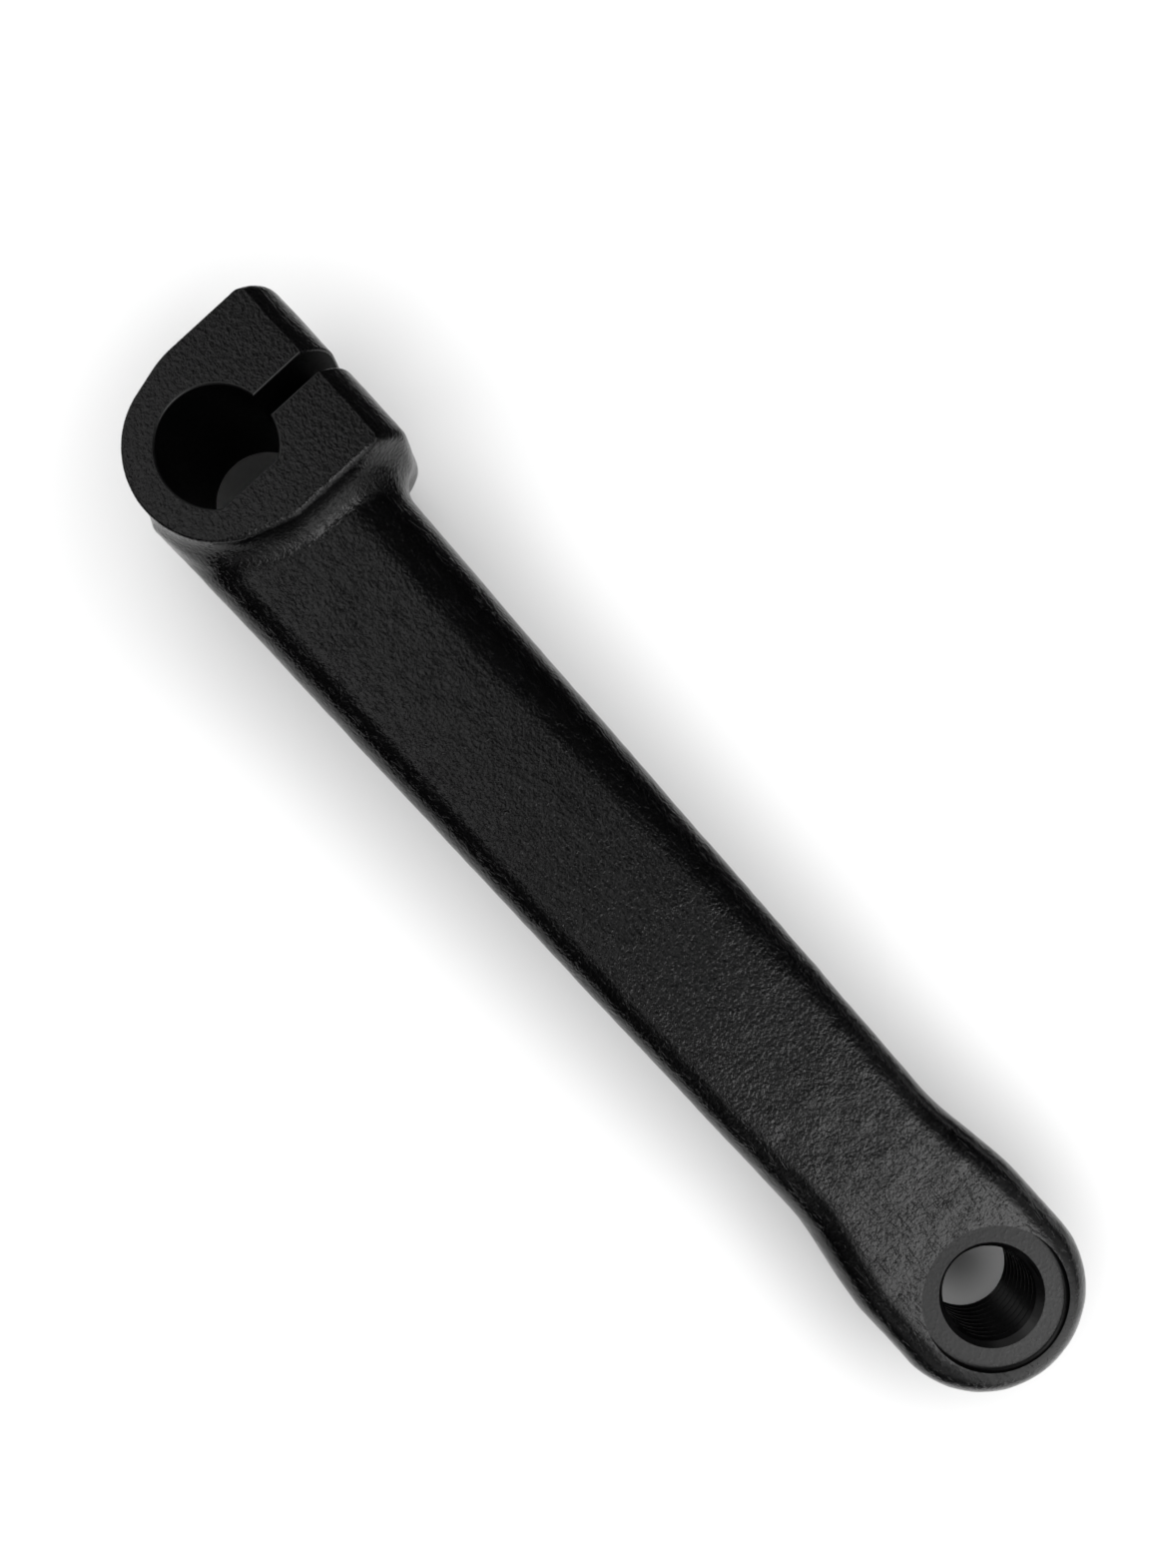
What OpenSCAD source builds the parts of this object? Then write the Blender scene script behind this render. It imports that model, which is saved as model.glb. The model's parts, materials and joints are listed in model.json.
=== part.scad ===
// Crank arm with a split D-bore clamp and a threaded pedal eye.
// Millimetres. The origin is on the spindle bore's axis, on the clamp's inner face.
// +X runs along the lever to the pedal eye, +Y to the clamp's slot, +Z to the outer face.

/* [Lever] */
// Distance from the spindle bore's axis to the pedal hole's axis
crank_length = 155; // [150:1:175]
// Distance from the crank's centre line to the lever's slot-side edge, at the clamp
root_plus = 15.5; // [14.8:0.1:15.8]
// Distance from the crank's centre line to the lever's other edge, at the clamp
root_minus = 13.7; // [13:0.1:14]
// Distance from the crank's centre line to the lever's slot-side edge, at its waist before the eye
waist_plus = 12.4; // [12:0.1:13]
// Distance from the crank's centre line to the lever's other edge, at its waist
waist_minus = 12.8; // [12:0.1:13.2]
// Height of the lever's outer face above the clamp's inner face, at the clamp
root_top = 23.5; // [21:0.5:24.5]
// Height of the lever's inner face above the clamp's inner face, at the clamp
root_bottom = 8; // [5:0.5:9]
// Radius of the lever's long edges at the waist and round the eye
edge_r = 4.8; // [3:0.1:5.4]
// Radius of the lever's edges on the slot's side, at the clamp
root_edge_r = 7.6; // [4.8:0.1:8]

/* [Pedal eye] */
// Outer radius of the eye
eye_r = 14.8; // [14:0.05:16]
// How far the eye's outside lies off the pedal axis, towards the clamp
eye_shift_x = 0; // [0:0.05:0.5]
// How far the eye's outside lies off the pedal axis, away from the slot's side
eye_shift_y = 0.35; // [0:0.05:0.5]
// Height of the eye's outer face at the pedal axis
eye_top = 15.2; // [14.8:0.1:16]
// Height of the eye's inner face at the pedal axis
eye_bottom = 1.2; // [0.6:0.1:2]
// Radius of the pedal hole's wall, which stands for the 9/16 in thread's major radius
pedal_hole_r = 7.15; // [7.1:0.01:7.2]
// Radius of the machined seat around the pedal hole
seat_r = 10.5; // [10:0.1:11]
// Height of the machined seat
seat_z = 13.5; // [13:0.1:14]

/* [Clamp] */
// Height of the clamp along the spindle
clamp_height = 27; // [25:0.5:29]
// Radius of the clamp's round side at its faces
boss_face_r = 12.3; // [12.1:0.05:12.6]
// Radius of the clamp's round side at mid height, where the draft meets
boss_mid_r = 13.35; // [12.8:0.05:13.6]
// Distance from the spindle axis to the clamp's lever-side wall, at its faces
ear_front = 13.5; // [13.2:0.1:13.8]
// Distance from the spindle axis to the clamp's far wall, at its faces
ear_back = 13.3; // [13:0.1:13.6]
// How far past the spindle axis the lever-side wall ends
front_kink_y = 1.4; // [1:0.1:3]
// How far past the spindle axis the far wall ends
back_kink_y = 2.2; // [2:0.1:5]
// Distance from the spindle axis to the outside of the clamp's ears
ear_side = 20; // [19.6:0.1:20.6]
// Radius of the ears' crowned outside, seen along the lever
ear_crown_r = 10.8; // [10:0.1:12]
// How far the crown has dropped back at the clamp's faces
crown_inset = 3.8; // [3:0.1:4.2]
// Radius of the ears' upright corners
ear_corner_r = 2.5; // [1:0.1:3]
// Radius of the spindle bore, for a 5/8 in spindle
bore_r = 7.94; // [7.9:0.01:8]
// Distance from the spindle axis to the bore's flat
flat_distance = 6.35; // [6:0.05:7]
// Width of the slot between the ears
slot_w = 3.2; // [2.5:0.1:3.4]

/* [Pinch bolt] */
// Radius of the bolt's shank
bolt_r = 3; // [2.5:0.5:3]
// Length of the bolt under its head
bolt_length = 20; // [18:1:21]
// Radius of the bolt's head
head_r = 5; // [4.8:0.1:5.2]
// Height of the bolt's head
head_h = 6; // [5:0.1:6]
// Width across flats of the bolt's hexagon socket
socket_af = 5; // [4:0.5:5]
// Depth of the bolt's hexagon socket
socket_depth = 3; // [2.5:0.1:3.5]
// Outer radius of the washer
washer_r = 5.5; // [5.4:0.1:5.7]
// Thickness of the washer
washer_t = 1.6; // [1:0.1:1.6]
// Distance from the spindle axis to the bolt's axis
bolt_y = 13.8; // [13.6:0.1:14]
// Distance from the spindle axis to the floor of the bolt head's pocket
pocket_floor = 9.6; // [9:0.1:10]

/* [Hidden] */
mid_z = clamp_height / 2;
bolt_z = mid_z;
draft_scale = boss_mid_r / boss_face_r;
waist_to_eye = 28;
waist_x = crank_length - waist_to_eye;
flare_length = 19;
eye_x = crank_length - eye_shift_x;
pocket_r = 6;
bolt_clearance_r = bolt_r + 0.3;
thread_clearance = 0.05;
tapped_depth = 12;
washer_hole_r = bolt_r + 0.2;
chamfer = 0.6;
bore_chamfer = 0.4;
pedal_chamfer = 0.35;
eye_back_inset = 1.6;
flat_side_half = 0.2;
drill_point_angle = 118;
corner_steps = 6;
flare_steps = 8;
end_steps = 18;
past = 1;
far = 60;
$fn = 96;

function lerp(a, b, t) = a + (b - a) * t;
function clamped(t) = max(0, min(1, t));
function smooth(t) = clamped(t) * clamped(t) * (3 - 2 * clamped(t));

// Half widths and heights of the lever at a distance x from the spindle axis
function side_y(x, root, waist, eye) =
    lerp(root, waist, clamped(x / waist_x)) + (eye - waist) * smooth((x - waist_x) / flare_length);
function plus_side(x) = side_y(x, root_plus, waist_plus, eye_r - eye_shift_y);
function minus_side(x) = side_y(x, root_minus, waist_minus, eye_r + eye_shift_y);
function top_z(x) = lerp(root_top, eye_top, x / crank_length);
function bottom_z(x) = lerp(root_bottom, eye_bottom, x / crank_length);

// Distances along one long side, close together where the side curves
side_x = concat(
    [0, waist_x / 2],
    [for (i = [0 : flare_steps]) waist_x + flare_length * i / flare_steps]
);

// Radius of the lever's edges at a distance x, kept to what its thickness leaves room for
function fitting(radius, x) = min(radius, (top_z(x) - bottom_z(x)) / 2 - flat_side_half);
function plus_edge(x) = fitting(lerp(root_edge_r, edge_r, clamped(x / waist_x)), x);

// Points along one long side and round the eye, each with its edge radius and the way inwards
function side_point(x, y, radius, inwards) = [x, y, radius, 0, inwards];
function eye_point(a) =
    [eye_x + eye_r * cos(a), eye_r * sin(a) - eye_shift_y, edge_r, -cos(a), -sin(a)];
outline = concat(
    [for (x = side_x) side_point(x, -minus_side(x), fitting(edge_r, x), 1)],
    [for (i = [0 : end_steps]) eye_point(-90 + 180 * i / end_steps)],
    [for (i = [len(side_x) - 1 : -1 : 0])
        let (x = side_x[i])
        side_point(x, plus_side(x), plus_edge(x), -1)]
);

// The outline's points at an angle of the edge's quarter round, 0 at the side and 90 at the face
function inset(p, angle) =
    let (distance = p[2] * (1 - cos(angle)))
    [p[0] + p[3] * distance, p[1] + p[4] * distance];
function bottom_point(p, angle) =
    let (q = inset(p, angle))
    [q[0], q[1], bottom_z(q[0]) + p[2] * (1 - sin(angle))];
function top_point(p, angle) =
    let (q = inset(p, angle))
    [q[0], q[1], top_z(q[0]) - p[2] * (1 - sin(angle))];

// The faces that close one end of the stack of outlines, each from side to side of the lever
function cap(first, count) = let (tip = (count - 1) / 2) concat(
    [for (i = [0 : tip - 2])
        [first + i, first + i + 1, first + count - 2 - i, first + count - 1 - i]],
    [[first + tip - 1, first + tip, first + tip + 1]]
);

// The same faces seen from the other side
function turned(faces) = [for (f = faces) [for (i = [len(f) - 1 : -1 : 0]) f[i]]];

// The lever with its eye: outlines stacked from the inner face to the outer one
module lever() {
    rings = concat(
        [for (i = [corner_steps : -1 : 0]) [for (p = outline) bottom_point(p, 90 * i / corner_steps)]],
        [for (i = [0 : corner_steps]) [for (p = outline) top_point(p, 90 * i / corner_steps)]]
    );
    count = len(rings[0]);
    last = len(rings) - 1;
    walls = [for (k = [0 : last - 1]) for (i = [0 : count - 1])
        let (j = (i + 1) % count, a = k * count, b = a + count)
        for (f = [[a + i, b + i, b + j], [a + i, b + j, a + j]]) f];
    polyhedron(
        points = [for (ring = rings) for (p = ring) p],
        faces = concat(cap(0, count), turned(cap(last * count, count)), walls)
    );
}

// A shape drawn across the lever, with its x as Y and its y as Z, pushed along X
module along_x(from, to) {
    translate([from, 0, 0])
        rotate([90, 0, 90])
            linear_extrude(to - from)
                children();
}

// The clamp's round side: two cones that meet at mid height
module round_side() {
    cylinder(h = mid_z, r1 = boss_face_r, r2 = boss_mid_r);
    translate([0, 0, mid_z])
        cylinder(h = mid_z, r1 = boss_mid_r, r2 = boss_face_r);
}

// Where the tangent from a corner of the ear side touches the round side, seen from above
function touching(corner) =
    let (
        distance = norm(corner),
        side = corner[0] > 0 ? -1 : 1,
        angle = atan2(corner[1], corner[0]) + side * acos(boss_face_r / distance)
    )
    boss_face_r * [cos(angle), sin(angle)];

// The ear side seen from above, at the clamp's faces
module ear_outline() {
    front = [ear_front, front_kink_y];
    back = [-ear_back, back_kink_y];
    polygon([
        [0, 0],
        touching(front),
        front,
        [ear_front, far],
        [-ear_back, far],
        back,
        touching(back)
    ]);
}

module drafted_half() {
    linear_extrude(mid_z, scale = draft_scale)
        ear_outline();
}

// The clamp's ear side, with walls drafted from mid height to both faces
module ear_side_block() {
    drafted_half();
    translate([0, 0, clamp_height])
        mirror([0, 0, 1])
            drafted_half();
}

// What the ears' upright corners are cut to, seen from above
module ear_plan() {
    left = -ear_back * draft_scale;
    right = ear_front * draft_scale;
    translate([left, -far / 2])
        square([right - left, far / 2 + ear_side - ear_corner_r]);
    translate([left + ear_corner_r, 0])
        square([right - left - 2 * ear_corner_r, ear_side]);
    for (x = [left + ear_corner_r, right - ear_corner_r])
        translate([x, ear_side - ear_corner_r])
            circle(ear_corner_r);
}

// What the ears' outsides are crowned to, seen along the lever
module ear_profile() {
    crown_y = ear_side - ear_crown_r;
    crown_drop = sqrt(ear_crown_r * ear_crown_r - pow(ear_crown_r - crown_inset, 2));
    translate([-far, 0])
        square([far + crown_y, clamp_height]);
    translate([0, crown_drop])
        square([ear_side, clamp_height - 2 * crown_drop]);
    intersection() {
        square([ear_side, clamp_height]);
        for (z = [crown_drop, clamp_height - crown_drop])
            translate([crown_y, z])
                circle(ear_crown_r);
    }
}

module clamp_boss() {
    intersection() {
        union() {
            round_side();
            ear_side_block();
        }
        linear_extrude(clamp_height)
            ear_plan();
        along_x(-far, far)
            ear_profile();
    }
}

// The spindle bore, round with one flat on the lever's side, chamfered at both ends
module spindle_bore() {
    intersection() {
        union() {
            translate([0, 0, -past])
                cylinder(h = clamp_height + 2 * past, r = bore_r);
            translate([0, 0, -past])
                cylinder(h = past + bore_chamfer, r1 = bore_r + past + bore_chamfer, r2 = bore_r);
            translate([0, 0, clamp_height - bore_chamfer])
                cylinder(h = past + bore_chamfer, r1 = bore_r, r2 = bore_r + past + bore_chamfer);
        }
        translate([-far, -far, -far])
            cube([far + flat_distance, 2 * far, 3 * far]);
    }
}

module slot() {
    translate([-slot_w / 2, 0, -past])
        cube([slot_w, ear_side + past, clamp_height + 2 * past]);
}

// The pedal hole, its chamfers and the machined seat around it
module pedal_bore() {
    translate([crank_length, 0, 0]) {
        translate([0, 0, -far / 2])
            cylinder(h = far, r = pedal_hole_r);
        translate([0, 0, seat_z])
            cylinder(h = far / 2, r = seat_r);
        translate([0, 0, seat_z - pedal_chamfer])
            cylinder(h = pedal_chamfer + past, r1 = pedal_hole_r, r2 = pedal_hole_r + pedal_chamfer + past);
    }
}

// A machined face on the eye's inner side, square to the pedal axis
module eye_back_cut() {
    translate([crank_length, 0, eye_bottom - far])
        cylinder(h = far, r = eye_r - eye_back_inset);
}

// The pinch bolt's clearance hole, tapped hole and head pocket
module bolt_holes() {
    translate([0, bolt_y, bolt_z])
        rotate([0, 90, 0]) {
            translate([0, 0, -far])
                cylinder(h = far, r = bolt_clearance_r);
            cylinder(h = tapped_depth, r = bolt_r + thread_clearance);
            translate([0, 0, tapped_depth])
                cylinder(
                    h = (bolt_r + thread_clearance) / tan(drill_point_angle / 2),
                    r1 = bolt_r + thread_clearance,
                    r2 = 0
                );
            translate([0, 0, -far])
                cylinder(h = far - pocket_floor, r = pocket_r);
        }
    translate([-far, bolt_y, bolt_z - pocket_r])
        cube([far - pocket_floor, far, 2 * pocket_r]);
}

// The whole casting: clamp, lever and eye in one piece
module crank_arm() {
    color("#1d1d1f")
        difference() {
            union() {
                lever();
                clamp_boss();
            }
            spindle_bore();
            slot();
            pedal_bore();
            eye_back_cut();
            bolt_holes();
        }
}

module bolt_washer() {
    color("#3a3a3c")
        translate([-pocket_floor, bolt_y, bolt_z])
            rotate([0, -90, 0])
                difference() {
                    cylinder(h = washer_t, r = washer_r);
                    translate([0, 0, -past])
                        cylinder(h = washer_t + 2 * past, r = washer_hole_r);
                }
}

// Hexagon socket cap screw, its head away from the lever
module pinch_bolt() {
    color("#2a2a2c")
        translate([-pocket_floor - washer_t, bolt_y, bolt_z])
            rotate([0, -90, 0])
                difference() {
                    union() {
                        cylinder(h = head_h - chamfer, r = head_r);
                        translate([0, 0, head_h - chamfer])
                            cylinder(h = chamfer, r1 = head_r, r2 = head_r - chamfer);
                        translate([0, 0, chamfer - bolt_length])
                            cylinder(h = bolt_length - chamfer, r = bolt_r);
                        translate([0, 0, -bolt_length])
                            cylinder(h = chamfer, r1 = bolt_r - chamfer, r2 = bolt_r);
                    }
                    translate([0, 0, head_h - socket_depth])
                        cylinder(h = socket_depth + past, d = socket_af / cos(30), $fn = 6);
                }
}

crank_arm();
bolt_washer();
pinch_bolt();
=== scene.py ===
import json
import math

import bpy
import numpy as np
from mathutils import Matrix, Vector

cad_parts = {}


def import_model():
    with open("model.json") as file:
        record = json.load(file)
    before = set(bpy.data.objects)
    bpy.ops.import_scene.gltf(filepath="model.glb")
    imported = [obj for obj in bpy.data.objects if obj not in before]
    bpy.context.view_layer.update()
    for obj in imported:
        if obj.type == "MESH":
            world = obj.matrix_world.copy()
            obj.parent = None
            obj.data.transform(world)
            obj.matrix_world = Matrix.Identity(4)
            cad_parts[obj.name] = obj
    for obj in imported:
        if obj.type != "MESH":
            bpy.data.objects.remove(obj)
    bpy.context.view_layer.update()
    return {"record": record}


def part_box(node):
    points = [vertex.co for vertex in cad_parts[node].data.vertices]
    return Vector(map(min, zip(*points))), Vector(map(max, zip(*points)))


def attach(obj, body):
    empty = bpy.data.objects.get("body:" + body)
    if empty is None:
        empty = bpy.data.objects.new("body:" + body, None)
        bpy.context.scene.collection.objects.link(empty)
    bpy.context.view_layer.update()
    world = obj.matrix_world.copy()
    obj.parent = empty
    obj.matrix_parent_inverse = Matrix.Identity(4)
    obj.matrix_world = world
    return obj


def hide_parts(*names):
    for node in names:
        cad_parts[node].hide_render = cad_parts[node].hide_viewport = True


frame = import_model()

# ---------------------------------------------------------------- sizes, in millimetres
MM = 0.001
AXIS_R = 0.0005  # stands for a radius of zero in a lathed profile
mounts = {m["name"]: m for m in frame["record"]["mounts"]}
arm_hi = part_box("crank_arm")[1] / MM

crank_length = mounts["pedal_eye"]["pos_m"][0] / MM
pedal_major_r = mounts["pedal_eye"]["dims"]["r_mm"]
seat_z = mounts["pedal_seat"]["pos_m"][2] / MM
bore_r = mounts["spindle_bore"]["dims"]["r_mm"]
clamp_height = arm_hi.z
ear_side = arm_hi.y

# the lever: half widths to both sides, heights of its top and bottom, and its eye
eye_x = crank_length
eye_y = -0.35
eye_r = arm_hi.x - eye_x
root_plus = 15.5
root_minus = 13.7
waist_plus = 12.4
waist_minus = 12.8
waist_x = crank_length - 28
flare_length = 19
root_top = 23.5
root_bottom = 8.0
eye_top = 15.2
eye_bottom = 1.2
droop_x = 150
droop = 0.0019
seat_r = 10.5

# radii of the lever's long edges. Those at the top change along it, in (place, radius) pairs
plus_edge_r = ((45, 8.3), (65, 6.9), (95, 5.3), (112, 4.5), (155, 4.6), (166, 4.8))
minus_edge_r = ((30, 5.3), (65, 4.5), (110, 4.5), (125, 5.4), (155, 4.6), (166, 4.6))
bottom_edge_r = 5.0
root_edge_extra = 1.6

# the clamp, drafted from its middle towards both faces
mid_z = clamp_height / 2
boss_face_r = 12.3
boss_mid_r = 13.35
ear_front = 13.5
ear_back = 13.3
front_kink_y = 1.4
back_kink_y = 2.2
ear_crown_r = 10.8
crown_inset = 3.8
crown_y = ear_side - ear_crown_r
crown_drop = math.sqrt(ear_crown_r ** 2 - (ear_crown_r - crown_inset) ** 2)
ear_corner_r = 1.0
ear_corner_extra = 1.6
ear_start_y = -4
kink_blend = 0.5
root_fillet = 3.6
under_fillet = 1.8
flat_distance = 6.35
slot_half = 1.6

# the pinch bolt's hole and pocket
bolt_y = 13.8
pocket_floor = 9.6
pocket_r = 6.0
clearance_r = 3.3
tapped_r = 3.05
tapped_depth = 12.0


# ---------------------------------------------------------------- the casting as a distance field
def smoothstep(t):
    t = np.clip(t, 0, 1)
    return t * t * (3 - 2 * t)


def rounded_corner(a, b, radius):
    """The distance to a body bounded by two distances, with its corner rounded."""
    a = a + radius
    b = b + radius
    return np.minimum(np.maximum(a, b), 0) + np.hypot(np.maximum(a, 0), np.maximum(b, 0)) - radius


def filleted_union(a, b, radius):
    """The distance to two bodies joined with a concave round."""
    u = np.maximum(radius - a, 0)
    v = np.maximum(radius - b, 0)
    return np.maximum(radius, np.minimum(a, b)) - np.hypot(u, v)


def soft_max(a, b, width):
    """The larger of two distances, blended where they are close, which rounds a blunt corner."""
    return np.maximum(a, b) + np.maximum(width - np.abs(a - b), 0) ** 2 / (4 * width)


def lever_field(x, y, z):
    """The tapering lever and its eye. The radii of its long edges change along it, on each side."""
    along = np.clip(x / waist_x, 0, 1)
    flare = smoothstep((x - waist_x) / flare_length)
    plus = root_plus + (waist_plus - root_plus) * along + (eye_r + eye_y - waist_plus) * flare
    minus = root_minus + (waist_minus - root_minus) * along + (eye_r - eye_y - waist_minus) * flare
    side = np.where(
        x > eye_x,
        np.hypot(x - eye_x, y - eye_y) - eye_r,
        np.abs(y - (plus - minus) / 2) - (plus + minus) / 2,
    )
    side = np.maximum(side, -x)
    top = root_top + (eye_top - root_top) * x / crank_length - droop * np.maximum(x - droop_x, 0) ** 2
    bottom = root_bottom + (eye_bottom - root_bottom) * x / crank_length
    across = smoothstep(y / 8 + 0.5)
    plus_edge = np.interp(x, *zip(*plus_edge_r))
    minus_edge = np.interp(x, *zip(*minus_edge_r))
    top_edge = minus_edge + (plus_edge - minus_edge) * across
    bottom_edge = bottom_edge_r + root_edge_extra * across * (1 - along)
    above = rounded_corner(side, z - top, top_edge)
    below = rounded_corner(side, bottom - z, bottom_edge)
    return np.maximum(above, below)


def side_line(corner, x, y, scale):
    """How far points lie outside the tangent from a corner of the ear side to the round side."""
    lean = math.acos(boss_face_r / math.hypot(*corner))
    turn = math.atan2(corner[1], corner[0]) - math.copysign(lean, corner[0])
    return x * math.cos(turn) + y * math.sin(turn) - boss_face_r * scale


def clamp_field(x, y, z):
    """The drafted clamp: a round side, and an ear side with a crowned outside."""
    to_face = np.abs(z - mid_z) / mid_z
    scale = 1 + (boss_mid_r / boss_face_r - 1) * (1 - to_face)
    round_side = np.hypot(x, y) - boss_face_r * scale
    across = np.abs(x - (ear_front - ear_back) / 2 * scale) - (ear_front + ear_back) / 2 * scale
    rise = np.maximum(np.abs(z - mid_z) - (mid_z - crown_drop), 0)
    crown = np.hypot(np.maximum(y - crown_y, 0), rise) - ear_crown_r
    crown = np.where(y > crown_y, crown, y - ear_side)
    block = rounded_corner(across, crown, ear_corner_r + ear_corner_extra * (1 - to_face))
    front = side_line((ear_front, front_kink_y), x, y, scale)
    back = side_line((-ear_back, back_kink_y), x, y, scale)
    block = soft_max(soft_max(block, front, kink_blend), back, kink_blend)
    return np.minimum(round_side, np.maximum(block, ear_start_y * scale - y))


def casting_field(x, y, z):
    """Lever and clamp in one, with a fillet that is broad at the top and broadest at the ear."""
    broad = np.maximum(smoothstep((z - 19) / 4), smoothstep((y + 9) / 6))
    at_ear = smoothstep((y - 8) / 6)
    fillet = under_fillet + (root_fillet - under_fillet) * broad + at_ear
    return filleted_union(lever_field(x, y, z), clamp_field(x, y, z), fillet)


def gradient(field, points, step=0.02):
    """The direction in which a field grows, at each point."""
    columns = []
    for axis in range(3):
        shift = np.zeros(3)
        shift[axis] = step
        columns.append((field(*(points + shift).T) - field(*(points - shift).T)) / (2 * step))
    return np.stack(columns, axis=1)


# ---------------------------------------------------------------- surface nets
def grid_cells(values, xs, ys, zs):
    """One vertex in each cell that the surface crosses, and the cell each belongs to."""
    inside = values < 0
    nx, ny, nz = np.array(inside.shape) - 1
    count = np.zeros((nx, ny, nz), np.int8)
    for i in (0, 1):
        for j in (0, 1):
            for k in (0, 1):
                count += inside[i:nx + i, j:ny + j, k:nz + k]
    cells = np.argwhere((count > 0) & (count < 8))
    number = np.full(count.shape, -1, np.int64)
    number[tuple(cells.T)] = np.arange(len(cells))
    axes = (xs, ys, zs)
    total = np.zeros((len(cells), 3))
    hits = np.zeros(len(cells))
    for axis in range(3):
        others = [n for n in range(3) if n != axis]
        for first in (0, 1):
            for second in (0, 1):
                low = cells.copy()
                low[:, others[0]] += first
                low[:, others[1]] += second
                high = low.copy()
                high[:, axis] += 1
                a = values[tuple(low.T)]
                b = values[tuple(high.T)]
                crossed = (a < 0) != (b < 0)
                share = np.where(crossed, a / np.where(crossed, a - b, 1), 0)
                point = np.stack([axes[n][low[:, n]] for n in range(3)], axis=1)
                point[:, axis] += share * (axes[axis][high[:, axis]] - axes[axis][low[:, axis]])
                total += point * crossed[:, None]
                hits += crossed
    return total / hits[:, None], number


def grid_quads(values, number):
    """Four cells meet along each grid edge that the surface crosses, and make one quad."""
    quads = []
    for axis in range(3):
        u, v = [n for n in range(3) if n != axis]
        low = np.moveaxis(values, axis, 0)[:-1] < 0
        high = np.moveaxis(values, axis, 0)[1:] < 0
        for falling in (True, False):
            edge = (low & ~high) if falling else (~low & high)
            found = np.argwhere(edge)
            found = found[(found[:, 1] > 0) & (found[:, 2] > 0)]
            corner = np.zeros((len(found), 3), np.int64)
            corner[:, axis] = found[:, 0]
            corner[:, u] = found[:, 1]
            corner[:, v] = found[:, 2]
            ring = []
            for du, dv in ((-1, -1), (0, -1), (0, 0), (-1, 0)):
                cell = corner.copy()
                cell[:, u] += du
                cell[:, v] += dv
                ring.append(number[tuple(cell.T)])
            ring = np.stack(ring, axis=1)
            turned = falling != (axis != 1)
            quads.append(ring[:, ::-1] if turned else ring)
    return np.concatenate(quads)


def relaxed(points, quads, field, rounds):
    """Evens out the net, and puts it back on the surface each time by Newton's method."""
    pairs = np.concatenate([quads[:, [a, (a + 1) % 4]] for a in range(4)])
    valence = np.bincount(pairs.ravel(), minlength=len(points))[:, None]
    for _ in range(rounds):
        mean = np.zeros_like(points)
        for axis in range(3):
            mean[:, axis] += np.bincount(pairs[:, 0], points[pairs[:, 1], axis], len(points))
            mean[:, axis] += np.bincount(pairs[:, 1], points[pairs[:, 0], axis], len(points))
        points = points * 0.4 + mean / valence * 0.6
        for _ in range(2):
            slope = gradient(field, points)
            points = points - slope * (field(*points.T) / (slope ** 2).sum(1))[:, None]
    return points


def lattice_noise(points, wavelength, seed):
    """Smooth noise between -1 and 1 with a given wavelength, the same each run."""
    period = 48
    values = np.random.RandomState(seed).uniform(-1, 1, (period, period, period))
    place = points / wavelength + 1000
    base = np.floor(place).astype(int)
    share = place - base
    share = share * share * (3 - 2 * share)
    total = np.zeros(len(points))
    for i in (0, 1):
        for j in (0, 1):
            for k in (0, 1):
                corner = (base + (i, j, k)) % period
                weight = np.prod(np.where((i, j, k), share, 1 - share), axis=1)
                total += weight * values[tuple(corner.T)]
    return total


# ---------------------------------------------------------------- meshes from points
def new_object(name, points, faces, material=None):
    """A mesh object in the scene, with its faces turned outwards."""
    mesh = bpy.data.meshes.new(name)
    mesh.from_pydata([tuple(p) for p in points], [], [tuple(int(i) for i in f) for f in faces])
    mesh.update()
    if signed_volume(mesh) < 0:
        mesh.flip_normals()
    if material:
        mesh.materials.append(material)
    made = bpy.data.objects.new(name, mesh)
    bpy.context.scene.collection.objects.link(made)
    return made


def signed_volume(mesh):
    mesh.calc_loop_triangles()
    co = np.zeros(len(mesh.vertices) * 3)
    mesh.vertices.foreach_get("co", co)
    co = co.reshape(-1, 3)
    corners = np.zeros(len(mesh.loop_triangles) * 3, np.int32)
    mesh.loop_triangles.foreach_get("vertices", corners)
    a, b, c = (co[corners[n::3]] for n in range(3))
    return float((a * np.cross(b, c)).sum() / 6)


def lofted(name, rings, material=None, closed=False, lips=None, lip_material=None):
    """A solid skinned over rings of equally many points. Closed joins the last ring to the first.

    The spans between rings that lips lists get the second material.
    """
    count = len(rings[0])
    points = [p for ring in rings for p in ring]
    faces = []
    spans = len(rings) if closed else len(rings) - 1
    for k in range(spans):
        a = k * count
        b = (k + 1) % len(rings) * count
        for i in range(count):
            j = (i + 1) % count
            faces.append((a + i, a + j, b + j, b + i))
    if not closed:
        for first, ring in ((0, rings[0]), (len(points) - count, rings[-1])):
            points.append(tuple(np.mean(ring, axis=0)))
            hub = len(points) - 1
            for i in range(count):
                j = (i + 1) % count
                faces.append((hub, first + j, first + i) if first == 0 else (hub, first + i, first + j))
    made = new_object(name, points, faces, material)
    if lips:
        made.data.materials.append(lip_material)
        for k in lips:
            for i in range(count):
                made.data.polygons[k * count + i].material_index = 1
    return made


def lathe_rings(profile, segments=128):
    """Rings round +Z from (radius, height) pairs."""
    turns = [2 * math.pi * n / segments for n in range(segments)]
    return [[(r * math.cos(a), r * math.sin(a), z) for a in turns] for r, z in profile]


def arc(centre, radius, start, end, steps):
    """Points on an arc in a plane, with its angles in degrees."""
    angles = [math.radians(start + (end - start) * n / steps) for n in range(steps + 1)]
    return [(centre[0] + radius * math.cos(a), centre[1] + radius * math.sin(a)) for a in angles]


def box_object(name, low, high, material):
    (x0, y0, z0), (x1, y1, z1) = low, high
    rings = [[(x0, y0, z), (x1, y0, z), (x1, y1, z), (x0, y1, z)] for z in (z0, z1)]
    return lofted(name, rings, material)


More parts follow.
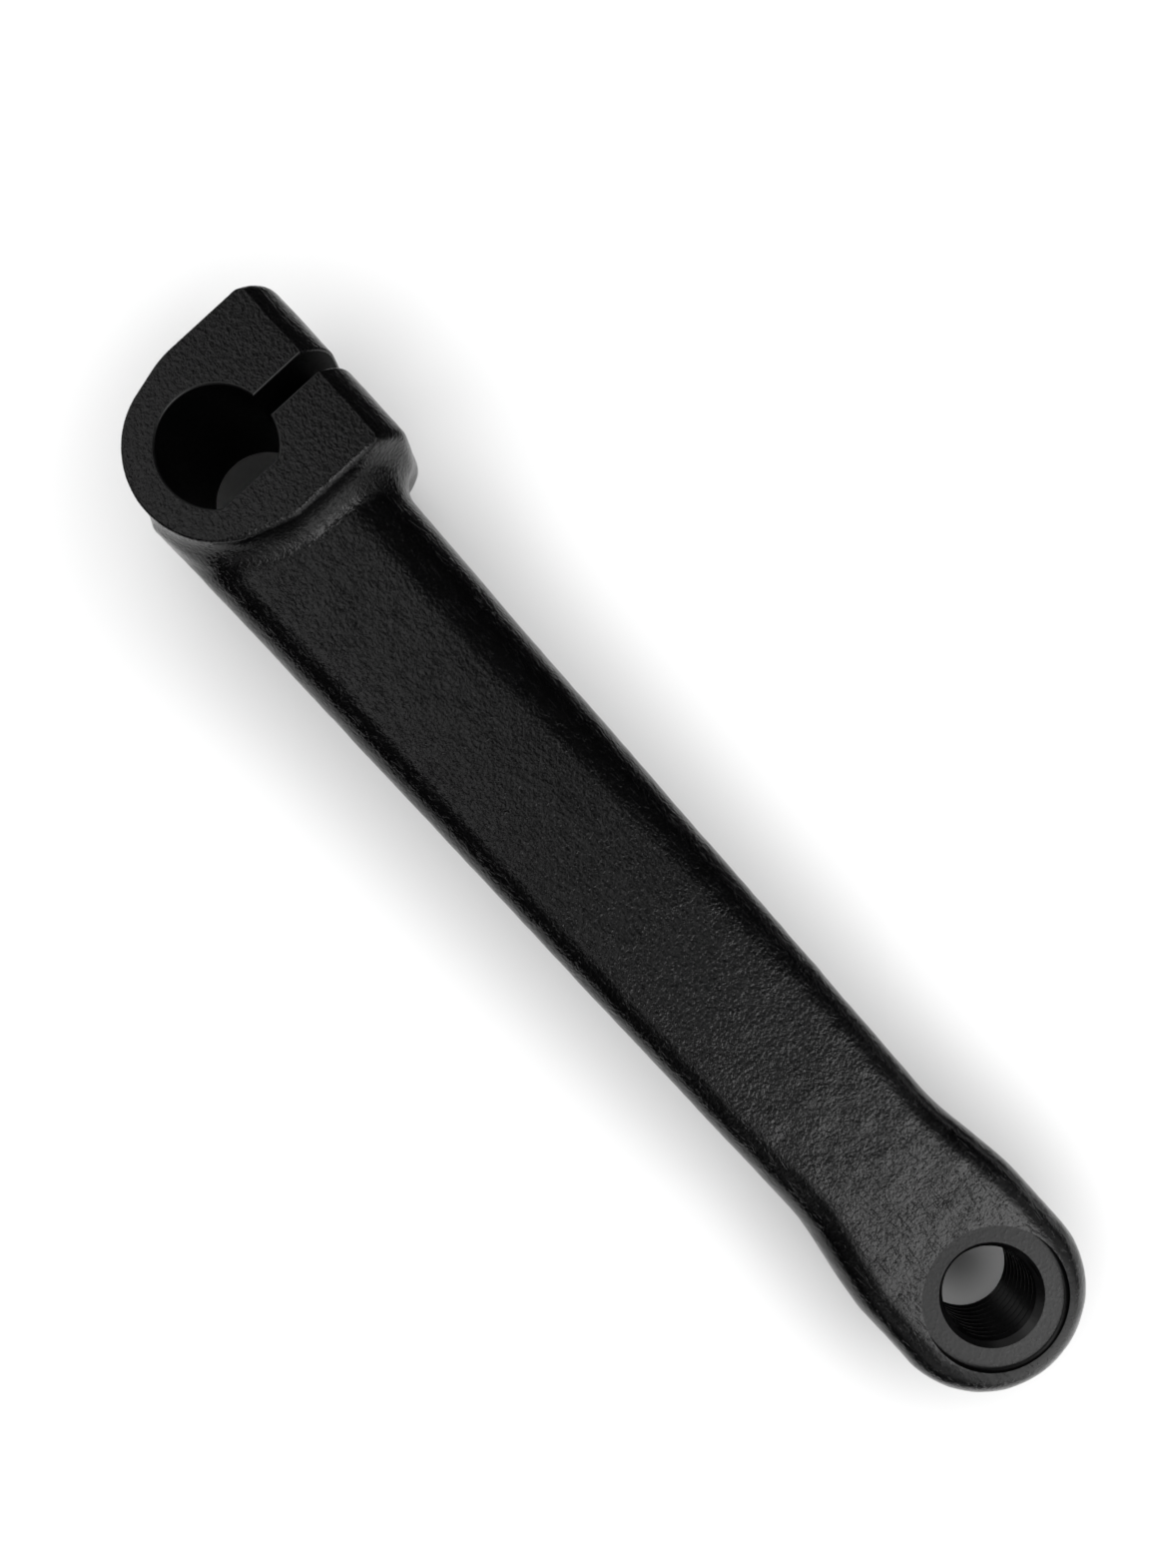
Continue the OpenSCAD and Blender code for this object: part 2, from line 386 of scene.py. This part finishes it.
def moved(piece, matrix):
    """Moves a piece's own points, and keeps its faces turned outwards if the matrix mirrors."""
    piece.data.transform(matrix)
    if matrix.determinant() < 0:
        piece.data.flip_normals()
    return piece


def threaded_rod(name, major, minor, pitch, z0, z1, hand, material, segments=72):
    """A rod with a helical V thread. Its columns follow the helix, so the crests are smooth."""
    flat = 0.07  # half of each crest's and each root's width, as a share of the pitch
    shares = (0.0, flat, 0.25, 0.5 - flat, 0.5, 0.5 + flat, 0.75, 1 - flat)
    corners = (0, flat, 0.5 - flat, 0.5 + flat, 1 - flat, 1)
    radii = np.interp(shares, corners, (major, major, minor, minor, major, major))
    per_turn = len(shares)
    turns = int(math.ceil((z1 - z0) / pitch)) + 1
    rows = turns * per_turn
    points = []
    for row in range(rows):
        for n in range(segments):
            share = n / segments
            z = z0 + (row // per_turn + shares[row % per_turn] + share - 1) * pitch
            a = 2 * math.pi * share * hand
            r = radii[row % per_turn]
            points.append((r * math.cos(a), r * math.sin(a), z))

    def at(row, n):
        return (row + per_turn) * segments if n == segments else row * segments + n

    faces = []
    for row in range(rows - 1):
        for n in range(segments):
            past_end = n == segments - 1 and row + 1 + per_turn >= rows
            if past_end:
                continue
            faces.append((at(row, n), at(row, n + 1), at(row + 1, n + 1), at(row + 1, n)))
    last = rows - 1
    low = [at(0, n) for n in range(segments)] + [at(row, 0) for row in range(per_turn, 0, -1)]
    high = [at(last, n) for n in range(segments)]
    high += [at(row, segments - 1) for row in range(last - 1, last - per_turn - 1, -1)]
    points.append((0, 0, z0 - 2 * pitch))
    hub = len(points) - 1
    for a, b in zip(low, low[1:] + low[:1]):
        faces.append((hub, b, a))
    points.append((0, 0, z0 + (turns + 2) * pitch))
    hub = len(points) - 1
    for a, b in zip(high, high[1:] + high[:1]):
        faces.append((hub, a, b))
    return new_object(name, points, faces, material)


def evaluated_mesh(piece):
    """The mesh that a piece's modifiers make."""
    bpy.context.view_layer.update()
    return bpy.data.meshes.new_from_object(piece.evaluated_get(bpy.context.evaluated_depsgraph_get()))


def combined(piece, tools, operation):
    """Booleans a piece with solids, one after the other, and removes them."""
    for tool in tools:
        cut = piece.modifiers.new("cut", "BOOLEAN")
        cut.operation = operation
        cut.solver = "MANIFOLD"
        cut.object = tool
        cut.material_mode = "TRANSFER"
        result = evaluated_mesh(piece)
        piece.modifiers.clear()
        old = piece.data
        piece.data = result
        bpy.data.meshes.remove(old)
        bpy.data.objects.remove(tool)
    return piece


def rim_cutter(name, path, inward, down, radius, closed):
    """A cutter that rounds the convex edge that a path follows, with the cast coat on the round.

    Inward and down run along the edge's two faces. The lean is the small angle at which the round
    meets both of them, because a boolean cuts uncleanly where a cutter only grazes a face.
    """
    lean = math.radians(8)
    spare = 0.6
    steps = 5
    rings = []
    radii = np.broadcast_to(radius, len(path))
    for p, a, b, r in zip(path, inward, down, radii):
        p, a, b = (np.array(v, float) for v in (p, a, b))
        a /= np.linalg.norm(a)
        b /= np.linalg.norm(b)
        inside = math.acos(float(np.clip(a @ b, -1, 1)))
        up = -(b - (a @ b) * a)
        out = -(a - (a @ b) * b)
        up /= np.linalg.norm(up)
        out /= np.linalg.norm(out)
        bisector = (a + b) / np.linalg.norm(a + b)
        centre = p + bisector * r * math.cos(lean) / math.sin(inside / 2)
        sweep = math.pi - inside
        ring = []
        for n in range(steps + 1):
            share = n / steps
            ring.append(centre + r * (
                math.sin((1 - share) * sweep) * up + math.sin(share * sweep) * out) / math.sin(sweep))
        ring.append(ring[-1] + out * spare)
        ring.append(p + (up + out) * spare / (1 + float(up @ out)))
        ring.append(ring[0] + up * spare)
        rings.append([tuple(v) for v in ring])
    return lofted(name, rings, CAST, closed=closed)


# ---------------------------------------------------------------- materials
def node(tree, kind, inputs=None, **settings):
    """A shader node with its inputs, each a socket to link or a value to set."""
    made = tree.nodes.new(kind)
    for key, value in settings.items():
        setattr(made, key, value)
    for key, value in (inputs or {}).items():
        if isinstance(value, bpy.types.NodeSocket):
            tree.links.new(value, made.inputs[key])
        else:
            made.inputs[key].default_value = value
    return made


def math_node(tree, operation, a, b=0.0):
    return node(tree, "ShaderNodeMath", {0: a, 1: b}, operation=operation).outputs[0]


def ramp_between(tree, value, low, high, to_low, to_high, kind="LINEAR"):
    """Goes from to_low to to_high as a value goes from low to high, and stays there outside."""
    return node(tree, "ShaderNodeMapRange", {
        "Value": value, "From Min": low, "From Max": high, "To Min": to_low, "To Max": to_high,
    }, interpolation_type=kind).outputs["Result"]


def noise(tree, place, scale, detail=2.0, roughness=0.5, distortion=0.0):
    return node(tree, "ShaderNodeTexNoise", {
        "Vector": place,
        "Scale": scale,
        "Detail": detail,
        "Roughness": roughness,
        "Distortion": distortion,
    }).outputs["Fac"]


def smooth_ramp(tree, value, low, high, to_low, to_high):
    return ramp_between(tree, value, low, high, to_low, to_high, "SMOOTHSTEP")


def product(tree, *factors):
    total = factors[0]
    for factor in factors[1:]:
        total = math_node(tree, "MULTIPLY", total, factor)
    return total


def surface(name, colour, roughness, specular=0.5, metallic=0.0):
    """A principled material with its place on the object in millimetres.

    The noise of each coat drives its roughness, and the plain value is for exports without it.
    """
    made = bpy.data.materials.new(name)
    made.use_nodes = True
    tree = made.node_tree
    shader = tree.nodes["Principled BSDF"]
    shader.inputs["Base Color"].default_value = (*colour, 1)
    shader.inputs["Roughness"].default_value = roughness
    shader.inputs["Specular IOR Level"].default_value = specular
    shader.inputs["Metallic"].default_value = metallic
    where = node(tree, "ShaderNodeTexCoord").outputs["Object"]
    scaled = node(tree, "ShaderNodeMapping", {"Vector": where, "Scale": (1000, 1000, 1000)})
    return made, tree, shader, scaled.outputs["Vector"]


def bumped(tree, shader, heights):
    """Chains bumps onto a shader from (height socket, depth in mm) pairs."""
    normal = None
    for height, depth in heights:
        inputs = {"Height": height, "Distance": depth * MM, "Strength": 1.0}
        if normal:
            inputs["Normal"] = normal
        normal = node(tree, "ShaderNodeBump", inputs).outputs["Normal"]
    tree.links.new(normal, shader.inputs["Normal"])


BLACK = (0.001, 0.001, 0.0011)
# a darker black for the walls of bore, slot and thread: painted shade in these recesses
RECESS_SHADE_BLACK = (0.0006, 0.0006, 0.0007)


def cast_coat():
    """Satin black over a casting's grain, shallower at the eye, with a few longer marks."""
    made, tree, shader, place = surface("cast_coat", BLACK, 0.24, specular=0.26)
    grain = noise(tree, place, 1.85, 2.0, 0.5, 0.4)
    x = node(tree, "ShaderNodeSeparateXYZ", {"Vector": place}).outputs["X"]
    relief = smooth_ramp(tree, x, 100, 138, 1.0, 0.42)
    grain = product(tree, grain, relief)
    fine = noise(tree, place, 4.2, 2.0, 0.55)
    swell = noise(tree, place, 0.30, 2.0, 0.5, 0.4)
    stretched = node(tree, "ShaderNodeMapping", {"Vector": place, "Scale": (0.5, 1.6, 1.0)})
    streaks = noise(tree, stretched.outputs["Vector"], 0.8, 2.0, 0.6, 1.6)
    marks = ramp_between(tree, streaks, 0.58, 0.68, 0.0, 1.0)
    tree.links.new(ramp_between(tree, swell, 0.3, 0.7, 0.19, 0.14), shader.inputs["Roughness"])
    waves = product(tree, swell, relief)
    bumped(tree, shader, [(waves, 0.06), (grain, 0.12), (marks, 0.03), (fine, 0.018)])
    return made


def machined_coat():
    """The same coat where the metal under it was machined flat."""
    made, tree, shader, place = surface("machined_coat", BLACK, 0.26, specular=0.26)
    grain = noise(tree, place, 1.8, 2.0, 0.5, 0.3)
    fine = noise(tree, place, 5.0, 1.0, 0.5)
    tree.links.new(ramp_between(tree, grain, 0.3, 0.7, 0.22, 0.17), shader.inputs["Roughness"])
    bumped(tree, shader, [(grain, 0.14), (fine, 0.022)])
    return made


def even_coat(name, colour, roughness, specular, scale, dull, bright, depth):
    """A thin coat with one even grain, which varies its roughness from dull to bright."""
    made, tree, shader, place = surface(name, colour, roughness, specular=specular)
    grain = noise(tree, place, scale, 2.0, 0.5, 0.3)
    tree.links.new(ramp_between(tree, grain, 0.3, 0.7, dull, bright), shader.inputs["Roughness"])
    bumped(tree, shader, [(grain, depth)])
    return made


def bolt_steel():
    """Black oxide, worn to bare metal along the edges."""
    made, tree, shader, place = surface("black_oxide", (0.05, 0.05, 0.053), 0.38, metallic=1.0)
    cloud = noise(tree, place, 0.9, 3.0, 0.6)
    fine = noise(tree, place, 6.0, 2.0, 0.5)
    edge = node(tree, "ShaderNodeNewGeometry").outputs["Pointiness"]
    wear = ramp_between(tree, edge, 0.53, 0.60, 0.0, 0.5)
    colour = node(tree, "ShaderNodeMix", {
        "Factor": wear, "A": (0.05, 0.05, 0.053, 1), "B": (0.24, 0.23, 0.22, 1),
    }, data_type="RGBA")
    tree.links.new(colour.outputs["Result"], shader.inputs["Base Color"])
    tree.links.new(ramp_between(tree, cloud, 0.3, 0.7, 0.30, 0.48), shader.inputs["Roughness"])
    bumped(tree, shader, [(fine, 0.004)])
    return made


def washer_steel():
    """Black zinc, a little lighter and cloudier than the bolt."""
    made, tree, shader, place = surface("black_zinc", (0.1, 0.1, 0.105), 0.4, metallic=1.0)
    cloud = noise(tree, place, 0.7, 3.0, 0.6)
    fine = noise(tree, place, 5.0, 2.0, 0.5)
    tree.links.new(ramp_between(tree, cloud, 0.3, 0.7, 0.32, 0.52), shader.inputs["Roughness"])
    bumped(tree, shader, [(fine, 0.005)])
    return made


CAST = cast_coat()
MACHINED = machined_coat()
# the bored and spot-faced places, the duller walls of bore and slot, and the pedal thread. The walls of
# bore and slot and the thread get a darker black, which is painted shade for these recesses, so that
# only the thread's crests catch the light
SMOOTH = even_coat("smooth_coat", BLACK, 0.3, 0.31, 2.2, 0.34, 0.27, 0.018)
BORE = even_coat("bore_coat", RECESS_SHADE_BLACK, 0.42, 0.06, 2.2, 0.47, 0.37, 0.012)
THREAD = even_coat("thread_coat", RECESS_SHADE_BLACK, 0.2, 0.14, 2.6, 0.24, 0.16, 0.02)


# ---------------------------------------------------------------- from millimetres into the frame
def finished(piece, name, body, node_name):
    """Scales a piece to metres, settles its normals, and puts it in the frame."""
    crease = math.radians(32)
    piece.data.transform(Matrix.Scale(MM, 4))
    piece.name = piece.data.name = name
    piece.data.shade_smooth()
    piece.data.set_sharp_from_angle(angle=crease)
    weighted = piece.modifiers.new("normals", "WEIGHTED_NORMAL")
    weighted.keep_sharp = True
    weighted.weight = 80
    result = evaluated_mesh(piece)
    piece.modifiers.clear()
    piece.data = result
    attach(piece, body)
    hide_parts(node_name)


# ---------------------------------------------------------------- the arm
def casting():
    """The raw casting, with the skin that sand or a die leaves, and metal to spare at both faces."""
    step = 0.5
    to_spare = 2.3
    mean_depth = 0.03
    xs = np.arange(-17.3, 173.5, step)
    ys = np.arange(-18.2, 23.5, step)
    zs = np.arange(-4.1, 31.5, step)

    def raw_field(x, y, z):
        return np.maximum(casting_field(x, y, z), np.abs(z - mid_z) - mid_z - to_spare)

    values = raw_field(xs[:, None, None], ys[None, :, None], zs[None, None, :])
    points, number = grid_cells(values, xs, ys, zs)
    quads = grid_quads(values, number)
    points = relaxed(points, quads, raw_field, 5)
    out = gradient(raw_field, points)
    out /= np.linalg.norm(out, axis=1)[:, None]
    skin = 0.035 * lattice_noise(points, 1.9, 11) + 0.05 * lattice_noise(points, 6.5, 12)
    points = points + out * (skin - mean_depth)[:, None]
    return new_object("crank_arm_cast", points, quads, CAST)


def d_outline(grow, grow_flat, z):
    """The spindle bore's outline: round, with one flat towards the lever."""
    radius = bore_r + grow
    flat = flat_distance + grow_flat
    half = math.degrees(math.acos(flat / radius))
    around = arc((0, 0), radius, half, 360 - half, 108)
    side = radius * math.sin(math.radians(half))
    straight = [(flat, -side + 2 * side * n / 12) for n in range(1, 12)]
    return [(x, y, z) for x, y in around + straight]


def slot_outline(grow, z):
    """The slot's outline, from inside the bore to beyond the ears."""
    half = slot_half + grow
    inner_y, outer_y = 5.0, 24.0
    return [(-half, inner_y, z), (half, inner_y, z), (half, outer_y, z), (-half, outer_y, z)]


def lipped(name, outline, lip):
    """A dull hole through the clamp, with rounded, smoother lips at both faces.

    Outline takes how far a lip has opened, from 0 to 1, and a height.
    """
    steps = 5
    low, high = [], []
    for n in range(steps + 1):
        a = math.radians(90 * n / steps)
        high.append(outline(1 - math.cos(a), clamp_height - lip * (1 - math.sin(a))))
        low.append(outline(1 - math.cos(a), lip * (1 - math.sin(a))))
    rings = [outline(1, -1)] + low[::-1] + high + [outline(1, clamp_height + 1)]
    lips = list(range(1, steps + 1)) + list(range(steps + 2, 2 * steps + 2))
    return lofted(name, rings, BORE, lips=lips, lip_material=SMOOTH)


def bore_cutter():
    lip, flat_lip = 0.35, 0.18
    return lipped("bore", lambda share, z: d_outline(lip * share, flat_lip * share, z), lip)


def slot_cutter():
    lip = 0.3
    return lipped("slot", lambda share, z: slot_outline(lip * share, z), lip)


def pedal_cutters():
    """The left-hand 20 to the inch thread with its chamfers, the seat, and the faced inner side."""
    pitch = 1.27
    left_hand = -1
    minor = 6.55
    core = minor - 0.3
    mouth_r = 7.44
    back_r = 6.75
    facing_r = eye_r - 1.6
    round_r = 0.3
    rod = threaded_rod(
        "pedal_thread", pedal_major_r - 0.01, minor, pitch, -3, seat_z + 3, left_hand, THREAD)
    seat = [(AXIS_R, seat_z), (seat_r - round_r, seat_z)]
    seat += arc((seat_r - round_r, seat_z + round_r), round_r, -90, 0, 4)[1:]
    seat += [(seat_r, 30), (AXIS_R, 30)]
    mouth = [(AXIS_R, seat_z - 2), (core, seat_z - 2), (core, seat_z - mouth_r + core),
             (mouth_r, seat_z), (mouth_r, seat_z + 1), (AXIS_R, seat_z + 1)]
    back = [(AXIS_R, eye_bottom + 2), (core, eye_bottom + 2), (core, eye_bottom + back_r - core),
            (back_r, eye_bottom), (back_r, eye_bottom - 1), (AXIS_R, eye_bottom - 1)]
    facing = [(AXIS_R, -9), (facing_r, -9), (facing_r, eye_bottom), (AXIS_R, eye_bottom)]
    made = [rod]
    for name, profile in (("seat", seat), ("mouth", mouth), ("back", back), ("facing", facing)):
        material = MACHINED if name == "facing" else SMOOTH
        made.append(lofted("pedal_" + name, lathe_rings(profile), material))
    to_eye = Matrix.Translation((crank_length, 0, 0))
    return [moved(m, to_eye) for m in made]


def bolt_cutters():
    """The pinch bolt's clearance hole, tapped hole and open pocket."""
    to_axis = Matrix.Translation((0, bolt_y, mid_z)) @ Matrix.Rotation(math.radians(90), 4, "Y")
    mouth_r = tapped_r + 0.3
    drill_cone = tapped_r / math.tan(math.radians(59))
    clear = [(AXIS_R, -30), (clearance_r, -30), (clearance_r, 0.4), (AXIS_R, 0.4)]
    tapped = [(AXIS_R, -1), (mouth_r, -1), (mouth_r, slot_half), (tapped_r, slot_half + 0.4),
              (tapped_r, tapped_depth), (AXIS_R, tapped_depth + drill_cone)]
    made = [moved(lofted("bolt_" + name, lathe_rings(profile, 64), SMOOTH), to_axis)
            for name, profile in (("clear", clear), ("tapped", tapped))]

    def u_outline(grow, x):
        """The pocket's outline at one depth: a half round that is open towards the ear's outside."""
        radius = pocket_r + grow
        outside_y = 40
        bend = arc((bolt_y, mid_z), radius, 90, 270, 48)
        outline = [(outside_y, mid_z + radius)] + bend + [(outside_y, mid_z - radius)]
        return [(x, y, z) for y, z in outline]

    floor_round, lip = 0.5, 0.5
    face = boss_mid_r
    bends = [(math.sin(math.radians(a)), math.cos(math.radians(a))) for a in (0, 22.5, 45, 67.5, 90)]
    rings = [u_outline(floor_round * (s - 1), -pocket_floor - floor_round * (1 - c)) for s, c in bends]
    rings += [u_outline(lip * (1 - c), -face + lip - lip * s) for s, c in bends]
    rings.append(u_outline(lip, -30))
    made.append(lofted("bolt_pocket", rings, MACHINED))
    return made


def clamp_rim(z, up, name):
    """Rounds the edge between a machined face of the clamp and the cast walls.

    The edge is found by bisection outwards from a place inside. Its round is largest towards the
    lever.
    """
    rim_r, lever_side_extra = 0.35, 0.7
    beyond = 32.0
    turns = np.linspace(0, 2 * math.pi, 240, endpoint=False)
    heading = np.stack([np.cos(turns), np.sin(turns), np.zeros(len(turns))], axis=1)
    low, high = np.zeros(len(turns)), np.full(len(turns), beyond)
    base = np.array([0, 3.0, z])
    for _ in range(40):
        middle = (low + high) / 2
        inside = clamp_field(*(base + heading * middle[:, None]).T) < 0
        low, high = np.where(inside, middle, low), np.where(inside, high, middle)
    path = base + heading * low[:, None]
    along = np.roll(path, -1, axis=0) - np.roll(path, 1, axis=0)
    slope = gradient(clamp_field, path)
    down = np.cross(along, slope)
    down *= -np.sign(down[:, 2])[:, None] * up
    inward = np.cross(along, (0, 0, 1))
    inward *= -np.sign((inward * heading).sum(1))[:, None]
    radii = rim_r + lever_side_extra * smoothstep((np.cos(turns) - 0.55) / 0.3)
    return rim_cutter(name, path, inward, down, radii, True)


def mouth_rims():
    """Rounds the slot's edges where they run down the ears' outsides."""
    rim_r, past_face = 0.45, 0.6
    heights = np.linspace(-past_face, clamp_height + past_face, 60)
    made = []
    for side in (-1, 1):
        path, inward, down = [], [], []
        for z in heights:
            rise = np.sign(z - mid_z) * max(abs(z - mid_z) - (mid_z - crown_drop), 0)
            y = crown_y + math.sqrt(ear_crown_r ** 2 - rise ** 2)
            path.append((side * slot_half, y, z))
            inward.append((0, -(y - crown_y), -rise))
            down.append((side, 0, 0))
        made.append(rim_cutter("mouth", path, inward, down, rim_r, False))
    return made


def crank_arm():
    """The casting after all machining."""
    arm = casting()
    half, depth = 30, 15
    above = clamp_height + depth
    top = box_object("top_face", (-half, -half, clamp_height), (half, half, above), MACHINED)
    bottom = box_object("bottom_face", (-half, -half, -depth), (half, half, 0), MACHINED)
    cutters = [top, bottom, clamp_rim(clamp_height, 1, "top_rim"), clamp_rim(0, -1, "bottom_rim")]
    cutters += [bore_cutter(), slot_cutter()] + mouth_rims() + pedal_cutters() + bolt_cutters()
    machined = combined(arm, cutters, "DIFFERENCE")
    finished(machined, "crank_arm_detail", "arm", "crank_arm")


# ---------------------------------------------------------------- bolt and washer
def along_bolt(x):
    """Moves a piece made round +Z so that its foot is at x and +Z points away from the lever."""
    return Matrix.Translation((x, bolt_y, mid_z)) @ Matrix.Rotation(math.radians(-90), 4, "Y")


def pinch_bolt():
    """An M6 socket cap screw with a knurled head, threaded all along but for its neck."""
    lo, hi = (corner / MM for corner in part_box("pinch_bolt"))
    washer_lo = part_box("bolt_washer")[0] / MM
    steel = bolt_steel()
    under_head = washer_lo.x
    length = hi.x - under_head
    head_r = (hi.y - lo.y) / 2
    head_h = under_head - lo.x
    pitch, right_hand = 1.0, 1
    major, minor, neck = 2.98, 2.42, 2.7
    clear = major + 0.04
    rod = threaded_rod("bolt_thread", major, minor, pitch, -length - 2, 3, right_hand, steel, 64)
    tip = [(AXIS_R, -length), (2.3, -length), (major, -length + 0.65), (clear, -length + 0.7),
           (clear, -2.2), (neck, -1.6), (neck, 2), (AXIS_R, 2)]
    shank = combined(rod, [lofted("tip", lathe_rings(tip, 64))], "INTERSECT")

    segments = 144
    knurl = 0.11
    round_r = 0.7
    half_across = 2.5
    corner = half_across / math.cos(math.pi / 6)
    socket = head_h - 3.0

    def ring(radius, z, ridged=0.0, hexagon=False):
        """One ring of the head: round, with two points in four sunk for the knurl, or hexagonal."""
        out = []
        for n in range(segments):
            a = 2 * math.pi * n / segments
            r = radius
            if hexagon:
                r = radius / math.cos((a + math.pi / 6) % (math.pi / 3) - math.pi / 6)
            r -= ridged * (0, 0.5, 1, 1)[n % 4]
            out.append((r * math.cos(a), r * math.sin(a), z))
        return out

    rings = [ring(AXIS_R, 0), ring(2.9, 0), ring(head_r - 0.35, 0), ring(head_r - 0.1, 0.12)]
    rings += [ring(head_r, 0.35), ring(head_r, 0.8)]
    rings += [ring(head_r, 1.0, knurl), ring(head_r, head_h - 1.1, knurl), ring(head_r, head_h - 0.9)]
    rings += [ring(r, z) for r, z in arc((head_r - round_r, head_h - round_r), round_r, 0, 90, 5)]
    rings += [ring(corner + 0.12, head_h)]
    rings += [ring(half_across, head_h - 0.28, hexagon=True), ring(half_across, socket, hexagon=True)]
    rings += [ring(half_across - 0.25, socket - 0.12, hexagon=True), ring(AXIS_R, socket - 0.9)]
    head = lofted("bolt_head", rings, steel)
    bolt = combined(head, [shank], "UNION")
    moved(bolt, along_bolt(under_head))
    finished(bolt, "pinch_bolt_detail", "bolt", "pinch_bolt")


def bolt_washer():
    """A stamped washer: well rounded on one side, with nearly sharp edges on the other."""
    lo, hi = (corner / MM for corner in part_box("bolt_washer"))
    outer = (hi.y - lo.y) / 2
    thick = hi.x - lo.x
    inner = 3.2
    profile = arc((outer - 0.35, 0.35), 0.35, -90, 0, 4)
    profile += arc((outer - 0.12, thick - 0.12), 0.12, 0, 90, 3)
    profile += arc((inner + 0.1, thick - 0.1), 0.1, 90, 180, 3)
    profile += arc((inner + 0.3, 0.3), 0.3, 180, 270, 4)
    washer = lofted("washer", lathe_rings(profile, 96), washer_steel(), closed=True)
    moved(washer, along_bolt(hi.x))
    finished(washer, "bolt_washer_detail", "washer", "bolt_washer")


# ---------------------------------------------------------------- floor, light and camera
def floor():
    """A pale floor. Reflections find it painted dark beyond the slot, and on the other side of the eye:
    painted shade that only reflections see.
    """
    half = 3.0
    clear = 0.00005
    corners = [(-half, -half, 0), (half, -half, 0), (half, half, 0), (-half, half, 0)]
    mesh = bpy.data.meshes.new("floor")
    mesh.from_pydata(corners, [], [(0, 1, 2, 3)])
    made = bpy.data.objects.new("floor", mesh)
    bpy.context.scene.collection.objects.link(made)
    made.location.z = -clear
    pale, painted_shade_grey = (0.86, 0.86, 0.86), (0.02, 0.02, 0.02)
    paint, tree, shader, place = surface("pale_floor", pale, 0.9, specular=0.1)
    cloud = noise(tree, place, 0.01, 2.0)
    tree.links.new(ramp_between(tree, cloud, 0, 1, 0.86, 0.94), shader.inputs["Roughness"])
    x, y, _ = node(tree, "ShaderNodeSeparateXYZ", {"Vector": place}).outputs
    eye_end = smooth_ramp(tree, x, 160.0, 200.0, 0.0, 1.0)
    clamp_end = math_node(tree, "SUBTRACT", 1.0, eye_end)
    slot_side = product(tree, smooth_ramp(tree, y, 26.0, 48.0, 0.0, 1.0), clamp_end)
    plain_side = product(tree, smooth_ramp(tree, y, -45.0, -20.0, 1.0, 0.0), eye_end)
    # painted shade on the floor: where reflections meet it in these places, its colour turns dark
    painted_shade_area = math_node(tree, "ADD", slot_side, plain_side)
    glossy = node(tree, "ShaderNodeLightPath").outputs["Is Glossy Ray"]
    shade = node(tree, "ShaderNodeMix", {
        "Factor": product(tree, painted_shade_area, glossy), "A": (*pale, 1), "B": (*painted_shade_grey, 1),
    }, data_type="RGBA")
    tree.links.new(shade.outputs["Result"], shader.inputs["Base Color"])
    mesh.materials.append(paint)


def bell(tree, value, centre, spread):
    """1 at the centre, falling off evenly to both sides."""
    away = math_node(tree, "DIVIDE", math_node(tree, "SUBTRACT", value, centre), spread)
    return math_node(tree, "EXPONENT", product(tree, math_node(tree, "POWER", away, 2.0), -0.5))


def beside(tree, value):
    """The length of a unit vector's other part, from its part along one axis."""
    square = math_node(tree, "POWER", value, 2.0)
    return math_node(tree, "SQRT", math_node(tree, "SUBTRACT", 1.0, square))


def world():
    """A light tent, white to the camera.

    A bright ring round the zenith lights the floor, brighter towards the eye's end. Reflections find
    a soft strip over the lever, a brighter box beyond the eye, and dim screens low at both ends.
    """
    made = bpy.data.worlds.new("studio")
    made.use_nodes = True
    tree = made.node_tree
    background = tree.nodes["Background"]
    direction = node(tree, "ShaderNodeTexCoord").outputs["Generated"]
    x, y, z = node(tree, "ShaderNodeSeparateXYZ", {"Vector": direction}).outputs
    ahead = math_node(tree, "DIVIDE", x, math_node(tree, "MAXIMUM", z, 0.03))
    aside = math_node(tree, "DIVIDE", y, math_node(tree, "MAXIMUM", beside(tree, y), 0.05))

    near_end = smooth_ramp(tree, ahead, -0.65, -0.35, 0.62, 1.0)
    far_end = smooth_ramp(tree, ahead, 0.02, 0.28, 1.74, 0.74)
    edge = smooth_ramp(tree, aside, -0.5, -0.28, 0.0, 1.0)
    strip = product(tree, near_end, far_end, edge, bell(tree, aside, -0.18, 0.185))

    rise = smooth_ramp(tree, ahead, 0.54, 0.65, 0.0, 1.0)
    fall = smooth_ramp(tree, ahead, 0.75, 1.3, 6.4, 1.3)
    box = product(tree, rise, fall, bell(tree, aside, 0.12, 0.22))

    ends = smooth_ramp(tree, math_node(tree, "ABSOLUTE", x), 0.34, 0.60, 0.0, 0.65)
    screens = product(tree, ends, bell(tree, z, 0.42, 0.15))
    reflected = math_node(tree, "ADD", math_node(tree, "ADD", strip, box), screens)

    uneven = math_node(tree, "ADD", 3.45, product(tree, x, 1.3))
    ring = product(tree, bell(tree, beside(tree, z), 0.66, 0.10), uneven)
    lighting = math_node(tree, "ADD", ring, 0.15)

    path = node(tree, "ShaderNodeLightPath").outputs
    seen = node(tree, "ShaderNodeMix", {
        "Factor": path["Is Camera Ray"], "A": lighting, "B": 1.0,
    }).outputs["Result"]
    mixed = node(tree, "ShaderNodeMix", {"Factor": path["Is Glossy Ray"], "A": seen, "B": reflected})
    background.inputs["Color"].default_value = (1, 1, 1, 1)
    tree.links.new(mixed.outputs["Result"], background.inputs["Strength"])
    bpy.context.scene.world = made


def camera():
    """Straight above the lever, turned so that it runs from the upper left to the lower right."""
    data = bpy.data.cameras.new("camera")
    data.lens = 25.82
    data.sensor_width = 36
    data.shift_x = 0.023
    data.shift_y = 0.021
    data.clip_start = 0.01
    made = bpy.data.objects.new("camera", data)
    made.location = (0.0640, -0.0003, 0.1709)
    made.rotation_euler = (0, 0, math.atan2(0.738, 0.675))
    bpy.context.scene.collection.objects.link(made)
    bpy.context.scene.camera = made


crank_arm()
pinch_bolt()
bolt_washer()
floor()
world()
camera()
bpy.context.scene.view_settings.view_transform = "Standard"
